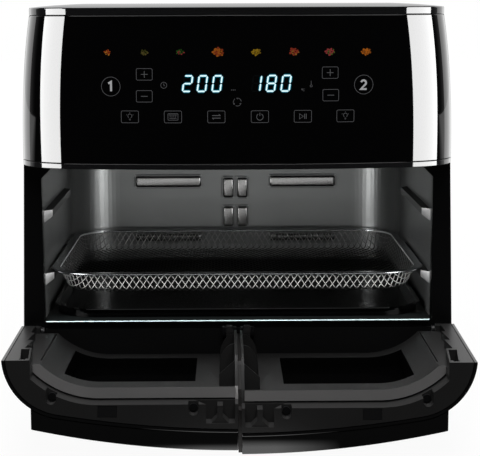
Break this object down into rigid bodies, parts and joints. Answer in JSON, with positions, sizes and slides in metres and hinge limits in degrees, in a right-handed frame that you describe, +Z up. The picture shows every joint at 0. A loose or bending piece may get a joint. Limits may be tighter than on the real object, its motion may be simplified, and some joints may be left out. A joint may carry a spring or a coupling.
{
  "type": "two-zone countertop oven",
  "caption": "Countertop air-frying oven with one wide cavity, bowed control header, drop-down doors, wire basket and drip tray.",
  "frame": {"origin": "middle of the oven's footprint with both doors open, on the surface that it stands on", "axes": "+X to the right seen from the front, +Y to the back, +Z up"},
  "size_m": [0.394, 0.4913, 0.368],
  "materials": {
    "gloss_black": "high gloss",
    "gloss_fascia": "high gloss over a printed panel",
    "black_moulding": "fine texture",
    "door_moulding": "satin",
    "cover_moulding": "satin black",
    "coated_cavity": "dark non-stick coat",
    "sill_steel": "brushed",
    "wire_steel": "bright plated wire",
    "tray_coating": "black enamel",
    "element_steel": "dull",
    "bracket_steel": "zinc plated",
    "pin_steel": "ground",
    "motor_steel": "dull",
    "fan_aluminium": "pressed",
    "cooler_plastic": "moulded",
    "lamp_ceramic": "glazed",
    "lens_glass": "clear",
    "pane_glass": "smoked",
    "display": "tinted lens",
    "board": "circuit board",
    "switch_plastic": "moulded",
    "magnet": "plated",
    "rubber_feet": "matte",
    "rubber_gland": "matte"
  },
  "bodies": {
    "oven": {"base_pan": "black_moulding", "feet": "rubber_feet", "front_bezel": "black_moulding", "sill_strip": "sill_steel", "left_side_panel": "cover_moulding", "right_side_panel": "cover_moulding", "rear_cover": "cover_moulding", "header_shell": "black_moulding", "header_trim": "gloss_black", "control_fascia": "gloss_fascia", "top_cover": "gloss_black", "door_magnets": "magnet", "cavity_wrap": "coated_cavity", "cavity_floor": "coated_cavity", "cavity_ceiling": "coated_cavity", "left_element": "element_steel", "right_element": "element_steel", "left_guard": "wire_steel", "right_guard": "wire_steel", "guard_studs": "bracket_steel", "left_motor": "motor_steel", "right_motor": "motor_steel", "motor_brackets": "bracket_steel", "left_lamp": "lamp_ceramic", "right_lamp": "lamp_ceramic", "lamp_lenses": "lens_glass", "heat_sensors": "bracket_steel", "door_switches": "switch_plastic", "control_board": "board", "display_module": "display", "power_board": "board", "cord_gland": "rubber_gland", "hinge_brackets": "bracket_steel", "hinge_pins": "pin_steel"},
    "left_fan": {"left_fan_impeller": "fan_aluminium", "left_fan_axle": "pin_steel", "left_fan_cooler": "cooler_plastic"},
    "right_fan": {"right_fan_impeller": "fan_aluminium", "right_fan_axle": "pin_steel", "right_fan_cooler": "cooler_plastic"},
    "left_door": {"left_door_shell": "gloss_black", "left_door_frame": "door_moulding", "left_door_inner_pane": "pane_glass", "left_door_outer_pane": "pane_glass", "left_door_handle": "gloss_black", "left_door_strikes": "bracket_steel", "left_door_screws": "pin_steel"},
    "right_door": {"right_door_shell": "gloss_black", "right_door_frame": "door_moulding", "right_door_inner_pane": "pane_glass", "right_door_outer_pane": "pane_glass", "right_door_handle": "gloss_black", "right_door_strikes": "bracket_steel", "right_door_screws": "pin_steel"},
    "basket": {"basket_rim": "wire_steel", "basket_mesh": "wire_steel"},
    "drip_tray": {"drip_tray": "tray_coating"}
  },
  "joints": [
    {"name": "left_door_hinge", "type": "hinge", "parent": "oven", "child": "left_door", "pos_m": [-0.1, -0.095, 0.071], "axis": [-1, 0, 0], "range_deg": [0, 88.5]},
    {"name": "right_door_hinge", "type": "hinge", "parent": "oven", "child": "right_door", "pos_m": [0.1, -0.095, 0.071], "axis": [-1, 0, 0], "range_deg": [0, 90]},
    {"name": "basket_slide", "type": "slide", "parent": "oven", "child": "basket", "axis": [0, 1, 0], "range_m": [-0.15, 0]},
    {"name": "drip_tray_slide", "type": "slide", "parent": "oven", "child": "drip_tray", "axis": [0, 1, 0], "range_m": [-0.15, 0]},
    {"name": "left_fan_spin", "type": "hinge", "parent": "oven", "child": "left_fan", "pos_m": [-0.088, 0.059, 0.28], "axis": [0, 0, 1], "continuous": true},
    {"name": "right_fan_spin", "type": "hinge", "parent": "oven", "child": "right_fan", "pos_m": [0.088, 0.059, 0.28], "axis": [0, 0, 1], "continuous": true}
  ]
}
